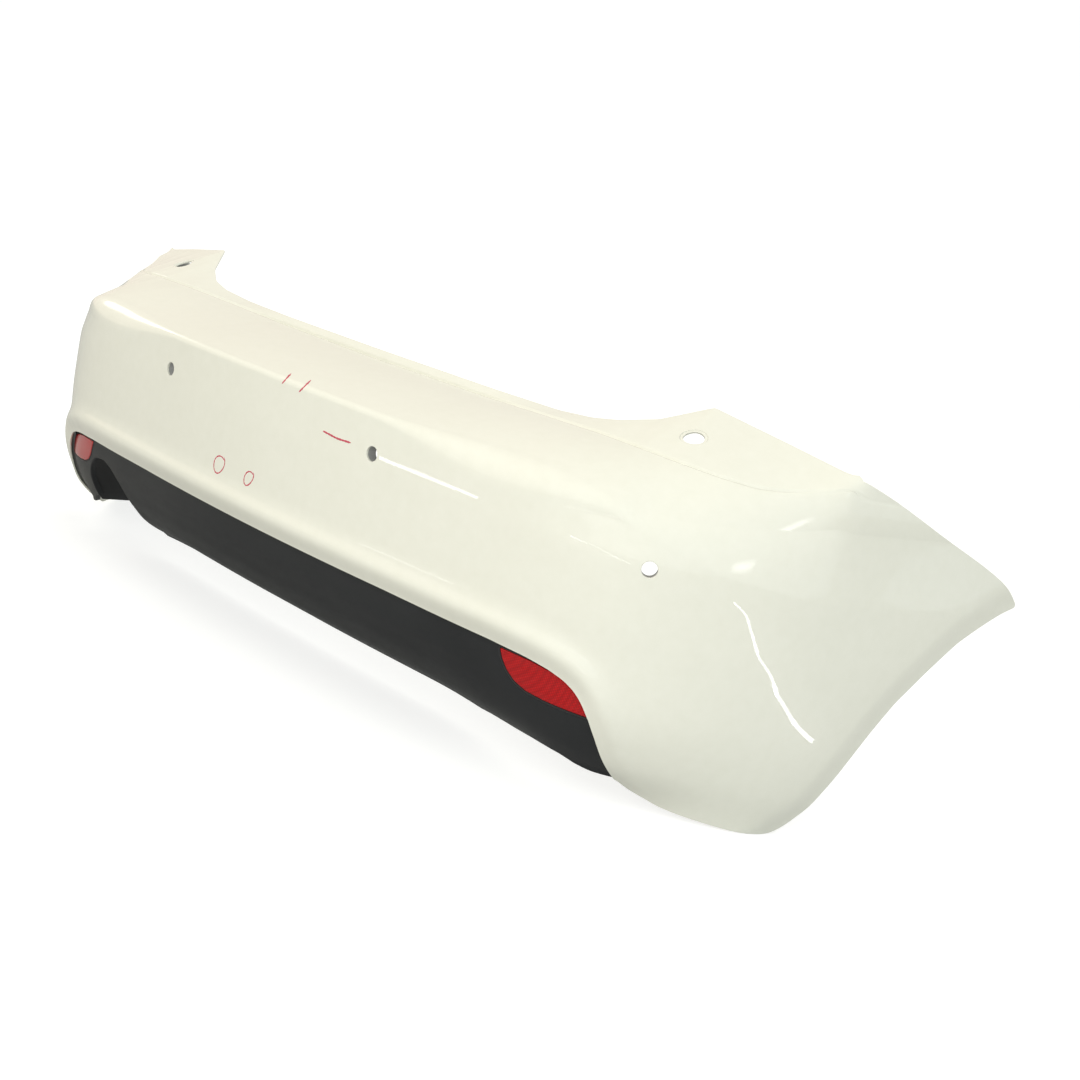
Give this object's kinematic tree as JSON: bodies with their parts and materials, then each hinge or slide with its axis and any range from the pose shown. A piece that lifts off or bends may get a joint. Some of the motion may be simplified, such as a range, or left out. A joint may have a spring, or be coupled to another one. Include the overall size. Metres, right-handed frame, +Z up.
{
  "type": "rear bumper cover",
  "caption": "Painted rear bumper cover with a dark lower insert, red reflectors, sensor holes and wheel arch flanges.",
  "frame": {"origin": "middle of the width and depth of the bounding box, on the plane under the lowest edge of the cheeks", "axes": "+X to the right when looking at the back of the car from behind, +Y forward into the car, +Z up; the cover stands as it does on the car"},
  "size_m": [1.7108, 0.6708, 0.5119],
  "materials": {
    "paint": "clear-coated off-white paint on polypropylene",
    "dark_plastic": "fine grain, unpainted",
    "black_plastic": "smooth matt black",
    "bare_plastic": "bare black moulding",
    "red_lens": "clear red prismatic lens",
    "nylon": "black nylon",
    "zinc": "zinc plated",
    "spring_steel": "phosphated spring steel"
  },
  "bodies": {
    "cover": {"skin_middle": "paint", "skin_corner_left": "paint", "skin_corner_right": "paint", "skin_side_left": "paint", "skin_side_right": "paint", "lower_insert": "dark_plastic", "reflector_lens_left": "red_lens", "reflector_lens_right": "red_lens", "reflector_base_left": "black_plastic", "reflector_base_right": "black_plastic", "sensor_holder_1": "bare_plastic", "sensor_holder_2": "bare_plastic", "sensor_holder_3": "bare_plastic", "sensor_holder_4": "bare_plastic", "joint_bosses": "bare_plastic", "rivet_bodies": "nylon", "insert_screws": "zinc", "arch_nuts_left": "spring_steel", "arch_nuts_right": "spring_steel", "exhaust_shield": "black_plastic"},
    "pin_1": {"rivet_pin_1": "nylon"},
    "pin_2": {"rivet_pin_2": "nylon"},
    "pin_3": {"rivet_pin_3": "nylon"},
    "pin_4": {"rivet_pin_4": "nylon"}
  },
  "joints": [
    {"name": "rivet_pin_1_pull", "type": "slide", "parent": "cover", "child": "pin_1", "axis": [0.1011, 0.9949, 0], "range_m": [0, 0.006]},
    {"name": "rivet_pin_2_pull", "type": "slide", "parent": "cover", "child": "pin_2", "axis": [0.0392, 0.9992, 0], "range_m": [0, 0.006]},
    {"name": "rivet_pin_3_pull", "type": "slide", "parent": "cover", "child": "pin_3", "axis": [-0.0392, 0.9992, 0], "range_m": [0, 0.006]},
    {"name": "rivet_pin_4_pull", "type": "slide", "parent": "cover", "child": "pin_4", "axis": [-0.1011, 0.9949, 0], "range_m": [0, 0.006]}
  ]
}
